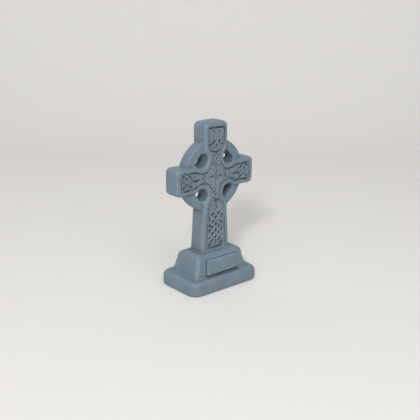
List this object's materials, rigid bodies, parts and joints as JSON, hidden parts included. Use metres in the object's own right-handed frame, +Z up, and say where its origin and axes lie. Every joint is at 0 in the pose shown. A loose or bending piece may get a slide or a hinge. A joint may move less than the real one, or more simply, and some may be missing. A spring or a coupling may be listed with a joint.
{
  "type": "ringed cross memorial miniature",
  "caption": "Small moulded model of a ringed cross memorial on a stepped plinth, with interlace carved on its front and a bare plaque; it stands by itself as scenery.",
  "frame": {"origin": "middle of the flat underside of the plinth", "axes": "+Z up along the cross, +X towards the viewer's right-hand arm seen from the carved front, carved front faces -Y"},
  "size_m": [0.0294, 0.017, 0.05],
  "materials": {
    "blue_grey_plastic": "matt as-moulded, slightly waxy"
  },
  "bodies": {
    "root": {"ringed_cross_memorial": "blue_grey_plastic"}
  },
  "joints": []
}
